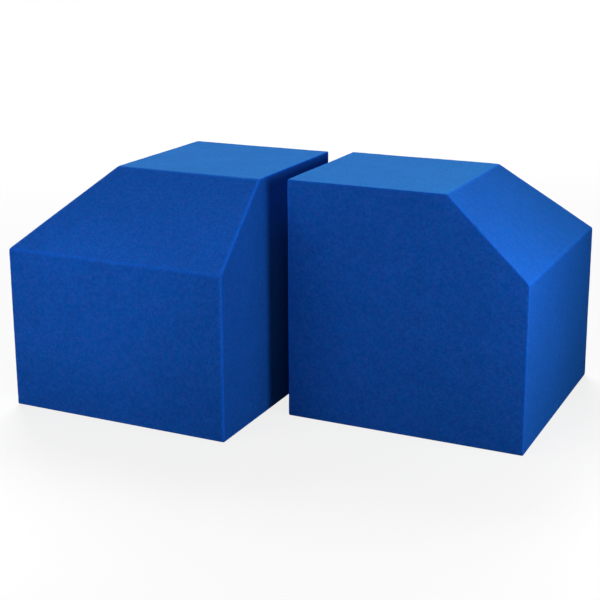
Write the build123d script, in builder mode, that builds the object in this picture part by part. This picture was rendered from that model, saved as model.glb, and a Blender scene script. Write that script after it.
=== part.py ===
from build123d import *
import os

# A pair of loose filter foam blocks, side by side on a floor. Each is a cube of foam with
# two neighbouring top edges sliced off, and the two slices meet in a mitred corner.
# Millimetres, +Z up, origin under the middle of the pair.

# Driving dimensions
BLOCK_SIDE = 300  # side of the cube that each block is cut from
CUT_RUN = 100  # how far a slice reaches in over the top face: a third of the side
CUT_DROP = 95  # how far the same slice comes down the block's side
BLOCK_GAP = 31  # air between the blocks, along X
SET_BACK = 111  # how much further back, along Y, the right block stands

# Half the pair's width and depth, from which both blocks are placed
HALF_WIDTH = (2 * BLOCK_SIDE + BLOCK_GAP) / 2
HALF_DEPTH = (BLOCK_SIDE + SET_BACK) / 2


def foam_block(name, foot):
    """Cut one block and write it. The plane foot has its origin at the block's bottom corner
    under the mitre, its X along one sliced edge and its Y along the other."""
    with BuildPart() as block:
        with BuildSketch(foot):
            Rectangle(BLOCK_SIDE, BLOCK_SIDE, align=(Align.MIN, Align.MIN))
        extrude(amount=BLOCK_SIDE)

        # The two top edges that meet over the foot's origin, sliced in one go so that the
        # slopes run into each other along a hip
        top_face = block.faces().sort_by(Axis.Z)[-1]
        top_corner = foot.from_local_coords((0, 0, BLOCK_SIDE))
        sliced_edges = top_face.edges().sort_by_distance(top_corner)[:2]
        chamfer(sliced_edges, length=CUT_RUN, length2=CUT_DROP, reference=top_face)
    block.part.label = name
    export_step(block.part, f"parts/{name}.step")


os.makedirs("parts", exist_ok=True)

# Left block: sliced along its front and its left top edge
foam_block("left_block", Plane(origin=(-HALF_WIDTH, -HALF_DEPTH, 0), x_dir=(1, 0, 0)))

# Right block: the same block turned half round, so sliced along its back and its right top edge
foam_block("right_block", Plane(origin=(HALF_WIDTH, HALF_DEPTH, 0), x_dir=(-1, 0, 0)))
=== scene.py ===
"""Looks for a pair of loose blue foam blocks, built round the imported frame.

Each block is one closed surface of sawn open-cell foam: the flat faces of the frame's block, with
the edges eased by a soft maximum of the face planes, and a low relief of saw waves and torn cells.
Sizes are in metres and places are in the frame's own axes.
"""

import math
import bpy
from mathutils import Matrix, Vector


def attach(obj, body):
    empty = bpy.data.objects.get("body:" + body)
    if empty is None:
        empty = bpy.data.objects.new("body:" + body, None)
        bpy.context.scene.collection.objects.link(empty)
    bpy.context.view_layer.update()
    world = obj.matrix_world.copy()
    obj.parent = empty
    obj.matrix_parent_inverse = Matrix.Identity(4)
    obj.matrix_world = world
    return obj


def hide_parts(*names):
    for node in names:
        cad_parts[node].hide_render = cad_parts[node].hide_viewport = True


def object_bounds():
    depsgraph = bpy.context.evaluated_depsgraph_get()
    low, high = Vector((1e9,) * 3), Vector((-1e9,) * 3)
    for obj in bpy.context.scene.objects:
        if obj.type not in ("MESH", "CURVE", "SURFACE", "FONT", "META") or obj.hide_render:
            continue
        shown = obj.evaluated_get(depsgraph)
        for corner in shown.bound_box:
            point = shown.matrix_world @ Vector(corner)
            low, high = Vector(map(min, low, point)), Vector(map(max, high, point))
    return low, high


bl_info = {
    "name": "Sawn Foam Blocks",
    "version": (1, 0, 0),
    "blender": (4, 5, 0),
    "location": "3D View > Sidebar > Foam",
    "description": "Dresses the frame's blocks in sawn open-cell foam and sets a plain stage",
    "category": "Object",
}

import bmesh
import bpy
import numpy as np
from bpy.props import FloatProperty, FloatVectorProperty, PointerProperty
from bpy.types import Operator, Panel, PropertyGroup
from mathutils import Euler, Matrix, Vector

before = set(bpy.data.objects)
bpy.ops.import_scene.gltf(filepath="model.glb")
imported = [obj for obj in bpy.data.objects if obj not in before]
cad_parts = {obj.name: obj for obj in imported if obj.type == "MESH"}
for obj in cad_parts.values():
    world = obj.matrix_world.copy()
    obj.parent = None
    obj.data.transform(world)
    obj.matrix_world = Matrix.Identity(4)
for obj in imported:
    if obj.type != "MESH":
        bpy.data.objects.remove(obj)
cad_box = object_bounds()

SLOT = "blue_foam"
# Attribute that holds the painted edge glow: a lighter line along the edges, painted in for light
# that comes through the foam there
PAINTED_EDGE_GLOW_ATTRIBUTE = "fray"

# Each block: its CAD node, its body, and which way its mitred corner lies from its middle,
# along X and along Y
BLOCKS = (
    ("left_block", "left", (-1.0, -1.0)),
    ("right_block", "right", (1.0, 1.0)),
)

# The order of a block's box planes: +X, +Y, +Z, -X, -Y, -Z
PLUS_X, MINUS_X = 0, 3

# The studio's soft boxes, all white: name, place, what it is aimed at, width, height, watts
SOFT_BOXES = (
    ("overhead", (-2.15, 3.45, 3.85), (0.0, 0.0, 0.15), 3.4, 3.4, 620.0),
    ("left_fill", (-0.27, -0.6, 0.25), (0.0, 0.0, 0.15), 0.4, 0.4, 1.85),
    ("front_fill", (0.22, -0.6, 1.1), (0.0, 0.0, 0.15), 0.4, 0.4, 3.9),
    ("right_key", (0.66, -0.2, 0.33), (0.25, -0.1, 0.15), 0.37, 0.37, 3.4),
)

# Points this near to each other, or to a level, are taken to be on it
TOUCHING = 1e-5
# The floor lies this far below the blocks, so that the two surfaces don't flicker
FLOOR_DROP = 0.0002

# Mesh steps grow by this ratio away from an edge
STEP_GROWTH = 1.35
# Newton's steps that settle a point on the eased surface
EASING_STEPS = 4
# Random values along each side of the noise's lattice, before it repeats
NOISE_PERIOD = 64
WAVE_SEED, TEAR_SEED = 11, 12
# The relief fades out over this share of a saw wave above the floor
FOOT_FADE = 0.125

# Noise textures keep mostly between these, so they are stretched from here
NOISE_LOW, NOISE_HIGH = 0.3, 0.7
NOISE_ROUGHNESS = 0.55
SMOOTH_DETAIL, FINE_DETAIL = 2.0, 3.0
# Cells are bent out of true by a noise this many cells wide, by up to this share of a cell
BEND_WIDTH, BEND_DEPTH = 2.0, 0.6
# A cell's hollow ends and its strut begins at these shares of a cell from its middle
HOLLOW_END, STRUT_START = 0.18, 0.62
# How far the struts stand up, against the flecks, and the whole, against a cell
STRUT_RISE, RELIEF_RISE = 0.6, 0.5
HOLLOW_ROUGHNESS, STRUT_ROUGHNESS = 1.0, 0.86
SHEEN_ROUGHNESS = 0.5
# The painted sheen, which makes a face paler and more cyan, comes in as the face's upright part
# passes from the first to the second of these
TOP_SHEEN_START, TOP_SHEEN_FULL = 0.8, 1.0
# The floor's unevenness: its size, and the darkest share of the floor's colour
FLOOR_GRAIN, FLOOR_DULLEST = 0.4, 0.995


# ---------------------------------------------------------------- shape


def graded_lines(length, fine, coarse):
    """Places from 0 to length whose spacing grows by one ratio from fine at both ends to coarse
    in the middle: running sums of the steps over one half, stretched to fit and mirrored."""
    steps = np.minimum(fine * STEP_GROWTH ** np.arange(int(length / fine)), coarse)
    half = np.concatenate(([0.0], np.cumsum(steps)))
    half = half[half <= length / 2]
    half *= length / 2 / half[-1]
    return np.concatenate((half, length - half[-2::-1]))


def lattice_noise(points, size, seed):
    """Smooth noise from -1 to 1: random values on a cubic lattice of the given spacing, blended
    between the eight corners round each point by the curve 3t^2 - 2t^3 along each axis."""
    table = np.random.default_rng(seed).uniform(-1.0, 1.0, (NOISE_PERIOD,) * 3)
    scaled = points / size
    cell = np.floor(scaled).astype(int)
    part = scaled - cell
    part = part * part * (3.0 - 2.0 * part)
    total = np.zeros(len(points))
    for corner in np.ndindex(2, 2, 2):
        weight = np.prod(np.where(corner, part, 1.0 - part), axis=1)
        total += weight * table[tuple(((cell + corner) % NOISE_PERIOD).T)]
    return total


def measure_slices(node):
    """The CAD node's lowest and highest corners, and how far its slices reach over the top and
    down the sides: the box less the flat top's extent, and the box's top less the height of the
    lowest corner above the base."""
    corners = np.empty(len(node.data.vertices) * 3)
    node.data.vertices.foreach_get("co", corners)
    corners = corners.reshape(-1, 3)
    low, high = corners.min(axis=0), corners.max(axis=0)
    flat_top = corners[corners[:, 2] > high[2] - TOUCHING]
    raised = corners[corners[:, 2] > low[2] + TOUCHING]
    run = (high - low)[0] - np.ptp(flat_top[:, 0])
    drop = high[2] - raised[:, 2].min()
    return low, high, run, drop


def block_planes(low, high, way, run, drop):
    """The block's eight face planes, as outward unit normals and their distances from the
    origin: six from its box, and two slopes that fall by drop over run towards the mitre."""
    normals = np.vstack((np.eye(3), -np.eye(3)))
    offsets = np.concatenate((high, -low))
    corner = np.where(np.array(way) > 0, high[:2], low[:2])
    for axis in (0, 1):
        slope = np.array([0.0, 0.0, run])
        slope[axis] = way[axis] * drop
        slope /= np.linalg.norm(slope)
        on_edge = np.array([0.0, 0.0, high[2] - drop])
        on_edge[axis] = corner[axis]
        normals = np.vstack((normals, slope))
        offsets = np.append(offsets, slope @ on_edge)
    return normals, offsets


def sheet(first, second, place):
    """A grid of points and its quads. place gives the points of the whole grid from the two
    parameters, and the quads face the way that first's direction cross second's points."""
    a, b = np.meshgrid(first, second, indexing="ij")
    points = np.stack(np.broadcast_arrays(*place(a, b)), axis=-1).reshape(-1, 3)
    number = np.arange(a.size).reshape(a.shape)
    quads = np.stack((number[:-1, :-1], number[1:, :-1], number[1:, 1:], number[:-1, 1:]), axis=-1)
    return points, quads.reshape(-1, 4)


def block_sheets(side, height, run, drop, fine, coarse):
    """The sharp-edged block as sheets that meet edge to edge, in cut coordinates: u and v run in
    from the two sliced sides, z up. The plan is a square of flat top and two four-sided slopes,
    each the straight blend between its side's edge and the top's; the underside is the same plan
    at z = 0, and the walls rise from one to the other."""
    along = graded_lines(side, fine, coarse) / side
    across = graded_lines(run, fine, coarse) / run
    upward = graded_lines(height, fine, coarse) / height
    foot = height - drop

    def on_top(a, b):
        return run + a * (side - run), run + b * (side - run)

    def on_slope(a, t):
        return a * side + t * run * (1.0 - a), t * run

    def lid(u, v):
        return np.minimum(height, foot + np.minimum(u, v) * drop / run)

    def top(a, b):
        u, v = on_top(a, b)
        return u, v, np.full_like(u, height)

    def slope_v(a, t):
        u, v = on_slope(a, t)
        return u, v, foot + t * drop

    def slope_u(t, a):
        v, u = on_slope(a, t)
        return u, v, foot + t * drop

    def flat(place):
        """The same plan at z = 0, with its parameters changed over so that it faces down."""
        return lambda b, a: (*place(a, b)[:2], 0.0)

    far = np.concatenate((across * run, run + along[1:] * (side - run)))
    near = along * side
    return (
        sheet(along, along, top),
        sheet(along, across, slope_v),
        sheet(across, along, slope_u),
        sheet(along, along, flat(top)),
        sheet(across, along, flat(slope_v)),
        sheet(along, across, flat(slope_u)),
        sheet(near, upward, lambda u, w: (u, 0.0, w * foot)),
        sheet(upward, near, lambda w, v: (0.0, v, w * foot)),
        sheet(upward, far, lambda w, u: (u, side, w * lid(u, side))),
        sheet(far, upward, lambda v, w: (side, v, w * lid(side, v))),
    )


def ease_edges(points, normals, offsets, radius):
    """Draws the points in to where the soft maximum of their distances outside the planes is
    nought: radius times the logarithm of the sum of exp(distance / radius), by Newton's steps
    along its gradient. Also gives the unit gradient, which is the eased surface's normal."""
    for _ in range(EASING_STEPS):
        outside = (points @ normals.T - offsets) / radius
        highest = outside.max(axis=1, keepdims=True)
        share = np.exp(outside - highest)
        total = share.sum(axis=1, keepdims=True)
        value = radius * (highest + np.log(total))
        gradient = (share / total) @ normals
        points = points - value * gradient / (gradient**2).sum(axis=1, keepdims=True)
    return points, gradient / np.linalg.norm(gradient, axis=1, keepdims=True)


def fray(inside, way, look):
    """How strongly each point takes the painted edge glow, from 0 to 1, by its distances inside
    the
    planes: it falls from the edge, which is the second nearest plane, along the curve
    1 - 3t^2 + 2t^3. The glow is a lighter line painted in for light that comes through the foam
    near an edge. The edges round the side across from the mitre take it in full, and the others
    less and over a narrower strip."""
    order = np.argsort(inside, axis=1)[:, :2]
    full_glow_side = MINUS_X if way[0] > 0 else PLUS_X
    strength = np.where((order == full_glow_side).any(axis=1), 1.0, look.edge_glow_elsewhere)
    reach = look.edge_glow_width * (1.0 + strength) / 2.0
    part = np.clip(np.sort(inside, axis=1)[:, 1] / reach, 0.0, 1.0)
    return strength * (1.0 - part * part * (3.0 - 2.0 * part))


def foam_block(name, way, look):
    """One block as a closed surface in the frame's place: the sheets, eased, then moved along
    their normals by two sizes of noise, saw waves and torn cells. The underside stays flat,
    pressed by the block's weight."""
    low, high, run, drop = measure_slices(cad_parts[name])
    side, height = high[0] - low[0], high[2] - low[2]
    normals, offsets = block_planes(low, high, way, run, drop)

    points, quads, used = [], [], 0
    for part, faces in block_sheets(side, height, run, drop, look.fine_step, look.coarse_step):
        points.append(part)
        quads.append(faces + used)
        used += len(part)
    cut = np.concatenate(points)
    quads = np.concatenate(quads)
    corner = np.where(np.array(way) > 0, high[:2], low[:2])
    sharp = np.column_stack((corner - np.array(way) * cut[:, :2], low[2] + cut[:, 2]))

    eased, outward = ease_edges(sharp, normals, offsets, look.edge_radius)
    relief = look.wave_height * lattice_noise(eased, look.wave_length, WAVE_SEED)
    relief += look.tear_height * lattice_noise(eased, look.tear_length, TEAR_SEED)
    relief *= np.clip((eased[:, 2] - low[2]) / (look.wave_length * FOOT_FADE), 0.0, 1.0)
    placed = eased + outward * relief[:, None]

    mesh = bpy.data.meshes.new(name + "_foam")
    mesh.from_pydata(placed, [], quads)
    # Each point's share of the painted edge glow, which lightens the colour along the edges
    kept = mesh.attributes.new(PAINTED_EDGE_GLOW_ATTRIBUTE, "FLOAT", "POINT")
    kept.data.foreach_set("value", fray(offsets - sharp @ normals.T, way, look))
    weld(mesh)
    mesh.polygons.foreach_set("use_smooth", np.ones(len(mesh.polygons), dtype=bool))
    piece = bpy.data.objects.new(name + "_foam", mesh)
    bpy.context.scene.collection.objects.link(piece)
    return piece


def weld(mesh):
    """Merges the sheets' shared edges, and raises an error if the surface isn't closed then."""
    shape = bmesh.new()
    shape.from_mesh(mesh)
    bmesh.ops.remove_doubles(shape, verts=shape.verts, dist=TOUCHING)
    if any(not edge.is_manifold for edge in shape.edges):
        raise RuntimeError(f"{mesh.name} isn't closed")
    shape.to_mesh(mesh)
    shape.free()


# ---------------------------------------------------------------- finishes


class NodeBench:
    """Adds nodes to one material and joins them, to keep the recipes below short."""

    def __init__(self, material):
        material.use_nodes = True
        self.tree = material.node_tree
        self.tree.nodes.clear()

    def feed(self, socket, value):
        """Links an output to the socket, or sets the socket to a plain value."""
        if isinstance(value, bpy.types.NodeSocket):
            self.tree.links.new(value, socket)
        else:
            socket.default_value = value

    def add(self, kind, inputs=None, **settings):
        node = self.tree.nodes.new(kind)
        for key, value in settings.items():
            setattr(node, key, value)
        for key, value in (inputs or {}).items():
            self.feed(node.inputs[key], value)
        return node

    def math(self, operation, *numbers):
        inputs = dict(enumerate(numbers))
        return self.add("ShaderNodeMath", inputs, operation=operation).outputs[0]

    def vector(self, operation, *vectors):
        inputs = dict(enumerate(vectors))
        return self.add("ShaderNodeVectorMath", inputs, operation=operation).outputs[0]

    def scaled(self, vector, factor):
        inputs = {0: vector, "Scale": factor}
        return self.add("ShaderNodeVectorMath", inputs, operation="SCALE").outputs[0]

    def noise(self, vector, size, detail):
        inputs = {
            "Vector": vector,
            "Scale": 1.0 / size,
            "Detail": detail,
            "Roughness": NOISE_ROUGHNESS,
        }
        return self.add("ShaderNodeTexNoise", inputs)

    def ramp(self, value, low, high, out_low, out_high):
        """A smooth climb from out_low to out_high as value goes from low to high."""
        inputs = {
            "Value": value,
            "From Min": low,
            "From Max": high,
            "To Min": out_low,
            "To Max": out_high,
        }
        return self.add("ShaderNodeMapRange", inputs, interpolation_type="SMOOTHSTEP").outputs[0]

    def spread(self, noise, out_low, out_high):
        """A noise's own range, stretched to run from out_low to out_high."""
        return self.ramp(noise, NOISE_LOW, NOISE_HIGH, out_low, out_high)

    def swing(self, noise, depth):
        """A factor that runs depth below and depth above 1 with the noise."""
        return self.spread(noise, 1.0 - depth, 1.0 + depth)

    def mix(self, factor, first, second):
        mixer = self.add("ShaderNodeMix", data_type="RGBA", blend_type="MIX")
        for key, value in {"Factor": factor, "A": first, "B": second}.items():
            self.feed(next(s for s in mixer.inputs if s.name == key and s.enabled), value)
        return next(s for s in mixer.outputs if s.enabled)


def foam_material(look):
    """Sawn open-cell foam. Cut cells are a fine Voronoi pattern, with painted shade in the hollows
    and lighter struts. A coarser noise gathers them into flecks, and slower ones make patches and
    cloud the dye. Along the edges the colour is lifted by a painted glow, for light that comes
    through the foam there, and faces that look up are painted paler and more cyan, as painted
    sheen."""
    material = bpy.data.materials.new(SLOT)
    bench = NodeBench(material)
    texture_place = bench.add("ShaderNodeTexCoord").outputs
    place = texture_place["Object"]

    # Cut cells: 0 in a hollow, 1 on a strut
    bend = bench.noise(place, look.cell_size * BEND_WIDTH, SMOOTH_DETAIL).outputs["Color"]
    bent = bench.vector("MULTIPLY_ADD", bend, (look.cell_size * BEND_DEPTH,) * 3, place)
    voronoi = {"Vector": bent, "Scale": 1.0 / look.cell_size, "Randomness": 1.0}
    from_middle = bench.add("ShaderNodeTexVoronoi", voronoi).outputs["Distance"]
    strut = bench.ramp(from_middle, HOLLOW_END, STRUT_START, 0.0, 1.0)

    # Noises from small to large
    fleck = bench.noise(place, look.fleck_size, FINE_DETAIL).outputs[0]
    dye = bench.noise(place, look.dye_size, FINE_DETAIL).outputs[0]
    patch = bench.noise(place, look.patch_size, SMOOTH_DETAIL).outputs[0]
    cloud = bench.noise(place, look.cloud_size, SMOOTH_DETAIL).outputs[0]

    # The foam's colour: dye, then the painted edge glow, then the painted sheen on faces that look
    # up
    cool, warm = (*look.cool_colour, 1.0), (*look.warm_colour, 1.0)
    dyed = bench.mix(bench.spread(dye, 0.0, 1.0), cool, warm)
    # Painted edge glow: the colour is lifted towards a lighter blue along the edges, for light
    # that comes through the foam
    frayed = bench.add("ShaderNodeAttribute", attribute_name=PAINTED_EDGE_GLOW_ATTRIBUTE).outputs["Fac"]
    lifted = bench.mix(frayed, dyed, (*look.frayed_colour, 1.0))
    facing = bench.add("ShaderNodeSeparateXYZ", {0: texture_place["Normal"]})
    # Painted sheen: faces that look up are mixed towards a paler, more cyan colour, for light
    # caught at a low angle
    fade = bench.ramp(facing.outputs["Z"], TOP_SHEEN_START, TOP_SHEEN_FULL, 0.0, look.fade)
    with_top_sheen = bench.mix(fade, lifted, (*look.painted_top_sheen_colour, 1.0))

    # Its tone: patches, clouds and painted shade in the hollows, then the tinted flecks
    # Painted shade: each cut cell is darkened in its hollow, and its struts keep the full colour
    hollow_shaded = bench.ramp(strut, 0.0, 1.0, 1.0 - look.hollow_shade, 1.0)
    tone = bench.math(
        "MULTIPLY", bench.swing(patch, look.patch_depth), bench.swing(cloud, look.cloud_depth)
    )
    toned = bench.scaled(with_top_sheen, bench.math("MULTIPLY", tone, hollow_shaded))
    fleck_factor = bench.vector(
        "MULTIPLY_ADD", bench.spread(fleck, -1.0, 1.0), look.fleck_tint, (1.0, 1.0, 1.0)
    )

    height = bench.math("MULTIPLY_ADD", strut, STRUT_RISE, fleck)
    relief = {
        "Height": height,
        "Strength": look.cell_relief,
        "Distance": look.cell_size * RELIEF_RISE,
    }
    surface = bench.add(
        "ShaderNodeBsdfPrincipled",
        {
            "Base Color": bench.vector("MULTIPLY", toned, fleck_factor),
            "Roughness": bench.ramp(strut, 0.0, 1.0, HOLLOW_ROUGHNESS, STRUT_ROUGHNESS),
            "Normal": bench.add("ShaderNodeBump", relief).outputs[0],
            "Specular IOR Level": look.gloss,
            "Sheen Weight": look.sheen,
            "Sheen Roughness": SHEEN_ROUGHNESS,
            "Sheen Tint": (*look.sheen_colour, 1.0),
        },
    ).outputs[0]
    bench.add("ShaderNodeOutputMaterial", {"Surface": surface})
    return material


def floor_material(stage):
    """Dull board with a barely uneven finish, which looks white: its glow is for the camera's
    eye alone, as when a floor is lifted to white in printing, and grows to full white far away.
    It sends back to the blocks only what its own dark colour gives."""
    material = bpy.data.materials.new("pale_floor")
    bench = NodeBench(material)
    place = bench.add("ShaderNodeTexCoord").outputs["Object"]
    grain = bench.noise(place, FLOOR_GRAIN, FINE_DETAIL).outputs[0]
    colour = bench.scaled(stage.floor_colour[:], bench.spread(grain, FLOOR_DULLEST, 1.0))
    reach = bench.add("ShaderNodeVectorMath", {0: place}, operation="LENGTH").outputs["Value"]
    lift = bench.ramp(reach, *stage.sweep_edge, stage.floor_glow, 1.0)
    seen = bench.add("ShaderNodeLightPath").outputs["Is Camera Ray"]
    surface = bench.add(
        "ShaderNodeBsdfPrincipled",
        {
            "Base Color": colour,
            "Roughness": 1.0,
            "Specular IOR Level": 0.0,
            "Emission Color": (1.0, 1.0, 1.0, 1.0),
            "Emission Strength": bench.math("MULTIPLY", lift, seen),
        },
    ).outputs[0]
    bench.add("ShaderNodeOutputMaterial", {"Surface": surface})
    return material


# ---------------------------------------------------------------- what a user would change


class FoamLook(PropertyGroup):
    """Sizes and colours of the foam."""

    edge_radius: FloatProperty(
        name="Edge easing",
        description="How softly the sawn edges turn",
        default=0.0006,
        unit="LENGTH",
        precision=4,
    )
    fine_step: FloatProperty(
        name="Fine step",
        description="Mesh spacing beside the edges",
        default=0.0004,
        unit="LENGTH",
        precision=4,
    )
    coarse_step: FloatProperty(
        name="Coarse step",
        description="Mesh spacing in the middle of the faces",
        default=0.003,
        unit="LENGTH",
        precision=4,
    )
    wave_height: FloatProperty(
        name="Saw wave height",
        description="How far the saw wandered off the flat",
        default=0.00025,
        unit="LENGTH",
        precision=5,
    )
    wave_length: FloatProperty(
        name="Saw wave length",
        description="Distance over which the saw wandered",
        default=0.045,
        unit="LENGTH",
    )
    tear_height: FloatProperty(
        name="Tear height",
        description="Height of the torn cells that stand proud of the face",
        default=0.0001,
        unit="LENGTH",
        precision=5,
    )
    tear_length: FloatProperty(
        name="Tear length",
        description="Size of the torn patches",
        default=0.005,
        unit="LENGTH",
        precision=4,
    )
    cell_size: FloatProperty(
        name="Cell size",
        description="Size of one foam cell",
        default=0.0011,
        unit="LENGTH",
        precision=4,
    )
    cell_relief: FloatProperty(
        name="Cell relief",
        description="Strength of the cells' shading",
        default=0.4,
        subtype="FACTOR",
        min=0.0,
        max=1.0,
    )
    fleck_size: FloatProperty(
        name="Fleck size",
        description="Size of the groups of lighter and darker cells",
        default=0.003,
        unit="LENGTH",
        precision=4,
    )
    fleck_tint: FloatVectorProperty(
        name="Fleck tint",
        description="How much the flecks lighten and darken the red, green and blue of the foam",
        default=(0.3, 0.12, 0.065),
    )
    patch_size: FloatProperty(
        name="Patch size",
        description="Size of the larger light and dark patches",
        default=0.011,
        unit="LENGTH",
        precision=4,
    )
    patch_depth: FloatProperty(
        name="Patch depth",
        description="How much the patches lighten and darken the foam",
        default=0.03,
        subtype="FACTOR",
    )
    # Painted shade in the hollows of the cut cells
    hollow_shade: FloatProperty(
        name="Hollow shade",
        description="How much painted shade darkens a cut cell inside, against its struts",
        default=0.06,
        subtype="FACTOR",
    )
    dye_size: FloatProperty(
        name="Dye size",
        description="Size of the changes between cool and warm blue",
        default=0.007,
        unit="LENGTH",
        precision=4,
    )
    cloud_size: FloatProperty(
        name="Cloud size",
        description="Size of the slow changes in the dye",
        default=0.06,
        unit="LENGTH",
    )
    cloud_depth: FloatProperty(
        name="Cloud depth",
        description="How much the dye varies",
        default=0.03,
        subtype="FACTOR",
    )
    # Width of the painted edge glow, the lighter line along the edges
    edge_glow_width: FloatProperty(
        name="Edge glow width",
        description="How far the lighter line reaches in from a frayed edge",
        default=0.0042,
        unit="LENGTH",
        precision=4,
    )
    # Painted edge glow, weaker, on the other edges
    edge_glow_elsewhere: FloatProperty(
        name="Edge glow elsewhere",
        description="How frayed the edges are that don't border the side sawn last",
        default=0.42,
        subtype="FACTOR",
    )
    gloss: FloatProperty(
        name="Gloss",
        description="Strength of the plain reflection off the struts",
        default=0.012,
        subtype="FACTOR",
    )
    sheen: FloatProperty(
        name="Sheen",
        description="Light caught by the cut struts at a low angle",
        default=0.05,
        subtype="FACTOR",
    )
    # Strength of the painted sheen on faces that look up
    fade: FloatProperty(
        name="Painted top sheen",
        description="How strongly faces that look up are painted paler and more cyan, as painted sheen",
        default=0.6,
        subtype="FACTOR",
    )
    cool_colour: FloatVectorProperty(
        name="Cool blue",
        description="Dye where it runs towards teal",
        default=(0.0035, 0.064, 0.338),
        subtype="COLOR",
    )
    warm_colour: FloatVectorProperty(
        name="Warm blue",
        description="Dye where it runs towards violet",
        default=(0.008, 0.0615, 0.338),
        subtype="COLOR",
    )
    # Colour of the painted edge glow
    frayed_colour: FloatVectorProperty(
        name="Painted edge glow colour",
        description="Colour of the torn cells along a frayed edge",
        default=(0.006, 0.092, 0.54),
        subtype="COLOR",
    )
    sheen_colour: FloatVectorProperty(
        name="Sheen colour",
        description="Tint of the light caught at a low angle",
        default=(0.1, 0.9, 0.7),
        subtype="COLOR",
    )
    # Painted sheen: the colour that faces looking up are mixed towards
    painted_top_sheen_colour: FloatVectorProperty(
        name="Painted top sheen colour",
        description="Colour of the painted sheen on faces that look up",
        default=(0.009, 0.101, 0.305),
        subtype="COLOR",
    )


class StageLook(PropertyGroup):
    """Floor, air and camera."""

    floor_colour: FloatVectorProperty(
        name="Floor colour",
        description="Colour of the light that the floor sends back to the blocks",
        default=(0.1, 0.1, 0.1),
        subtype="COLOR",
    )
    floor_glow: FloatProperty(
        name="Floor glow",
        description="How far the floor near the blocks is lifted to white for the camera",
        default=0.8,
    )
    sweep_edge: FloatVectorProperty(
        name="Sweep edge",
        description="Distances from the middle between which the lift grows to full white",
        size=2,
        default=(1.2, 4.0),
        unit="LENGTH",
    )
    floor_size: FloatProperty(
        name="Floor size",
        description="Side of the square floor",
        default=60.0,
        unit="LENGTH",
    )
    air_light: FloatProperty(
        name="Air light",
        description="Brightness of the air beyond the floor, which lights no matt surface",
        default=1.0,
    )
    lens: FloatProperty(
        name="Lens",
        description="Focal length",
        default=77.9,
        unit="CAMERA",
    )
    camera_place: FloatVectorProperty(
        name="Camera place",
        description="Where the camera stands",
        default=(0.6824, -1.4566, 0.6106),
        subtype="TRANSLATION",
        unit="LENGTH",
    )
    camera_tilt: FloatProperty(
        name="Camera tilt",
        description="How far the camera looks down",
        default=math.radians(14.252),
        subtype="ANGLE",
    )
    camera_turn: FloatProperty(
        name="Camera turn",
        description="How far the camera is turned to its left from straight along Y",
        default=math.radians(25.519),
        subtype="ANGLE",
    )
    camera_lean: FloatProperty(
        name="Camera lean",
        description="How far the camera leans over to its right",
        default=math.radians(0.223),
        subtype="ANGLE",
    )
    lens_rise: FloatProperty(
        name="Lens rise",
        description="How far the lens is shifted up, as a share of the frame",
        default=-0.1,
    )


# ---------------------------------------------------------------- operators


class FOAM_OT_blocks(Operator):
    """Make both foam blocks, in place of the frame's plain ones"""

    bl_idname = "foam.blocks"
    bl_label = "Foam Blocks"

    def execute(self, context):
        look = context.scene.foam_look
        material = foam_material(look)
        for name, body, way in BLOCKS:
            piece = foam_block(name, way, look)
            piece.data.materials.append(material)
            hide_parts(name)
            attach(piece, body)
        return {"FINISHED"}


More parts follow.
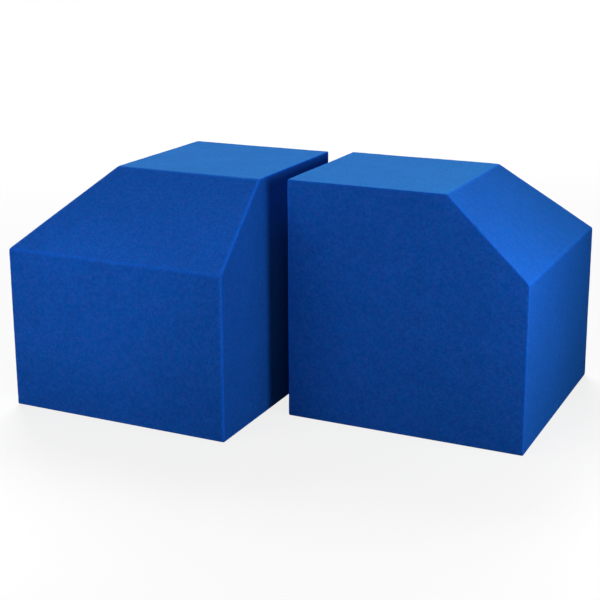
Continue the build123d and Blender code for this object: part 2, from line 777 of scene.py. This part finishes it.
class FOAM_OT_stage(Operator):
    """Lay the floor, hang the soft boxes and place the camera"""

    bl_idname = "foam.stage"
    bl_label = "Stage"

    def execute(self, context):
        scene = context.scene
        stage = scene.foam_stage
        self.lay_floor(scene, stage)
        for box in SOFT_BOXES:
            self.hang_soft_box(scene, *box)
        self.light_air(scene, stage)
        self.place_camera(scene, stage)
        scene.view_settings.view_transform = "Standard"
        return {"FINISHED"}

    def lay_floor(self, scene, stage):
        """A square just below the blocks' undersides."""
        half = stage.floor_size / 2
        level = cad_box[0].z - FLOOR_DROP
        corners = [(x * half, y * half, level) for x, y in ((-1, -1), (1, -1), (1, 1), (-1, 1))]
        mesh = bpy.data.meshes.new("floor")
        mesh.from_pydata(corners, [], [(0, 1, 2, 3)])
        mesh.materials.append(floor_material(stage))
        floor = bpy.data.objects.new("floor", mesh)
        scene.collection.objects.link(floor)

    def hang_soft_box(self, scene, name, place, target, width, height, watts):
        """A soft box: a glowing rectangle aimed at a point, unseen by the camera."""
        lamp = bpy.data.lights.new(name, "AREA")
        lamp.shape = "RECTANGLE"
        lamp.size = width
        lamp.size_y = height
        lamp.energy = watts
        box = bpy.data.objects.new(name, lamp)
        box.location = place
        aim = Vector(target) - Vector(place)
        box.rotation_euler = aim.to_track_quat("-Z", "Y").to_euler()
        box.visible_camera = False
        scene.collection.objects.link(box)

    def light_air(self, scene, stage):
        """White air, for the camera and for gloss. It lights no matt surface."""
        world = bpy.data.worlds.new("air")
        world.use_nodes = True
        glow = world.node_tree.nodes["Background"]
        glow.inputs["Color"].default_value = (1.0, 1.0, 1.0, 1.0)
        glow.inputs["Strength"].default_value = stage.air_light
        scene.world = world
        world.cycles_visibility.diffuse = False

    def place_camera(self, scene, stage):
        """The camera on its tripod: turned, tilted, then leant about the line that it looks
        along, with its lens shifted."""
        camera = bpy.data.cameras.new("camera")
        camera.lens = stage.lens
        camera.shift_y = stage.lens_rise
        tripod = bpy.data.objects.new("camera", camera)
        tripod.location = stage.camera_place
        upright = Euler((math.pi / 2 - stage.camera_tilt, 0.0, stage.camera_turn))
        leaning = upright.to_matrix() @ Matrix.Rotation(-stage.camera_lean, 3, "Z")
        tripod.rotation_euler = leaning.to_euler()
        scene.collection.objects.link(tripod)
        scene.camera = tripod


class FOAM_PT_sidebar(Panel):
    """Foam settings and steps"""

    bl_idname = "FOAM_PT_sidebar"
    bl_label = "Sawn Foam Blocks"
    bl_space_type = "VIEW_3D"
    bl_region_type = "UI"
    bl_category = "Foam"

    def draw(self, context):
        for settings, step in (
            (context.scene.foam_look, FOAM_OT_blocks),
            (context.scene.foam_stage, FOAM_OT_stage),
        ):
            column = self.layout.column(align=True)
            for name in settings.bl_rna.properties.keys():
                if name not in {"rna_type", "name"}:
                    column.prop(settings, name)
            self.layout.operator(step.bl_idname)


CLASSES = (FoamLook, StageLook, FOAM_OT_blocks, FOAM_OT_stage, FOAM_PT_sidebar)


def register():
    for kind in CLASSES:
        bpy.utils.register_class(kind)
    bpy.types.Scene.foam_look = PointerProperty(type=FoamLook)
    bpy.types.Scene.foam_stage = PointerProperty(type=StageLook)


def unregister():
    del bpy.types.Scene.foam_stage
    del bpy.types.Scene.foam_look
    for kind in reversed(CLASSES):
        bpy.utils.unregister_class(kind)


def main():
    register()
    bpy.ops.foam.blocks()
    bpy.ops.foam.stage()


if __name__ == "__main__":
    main()
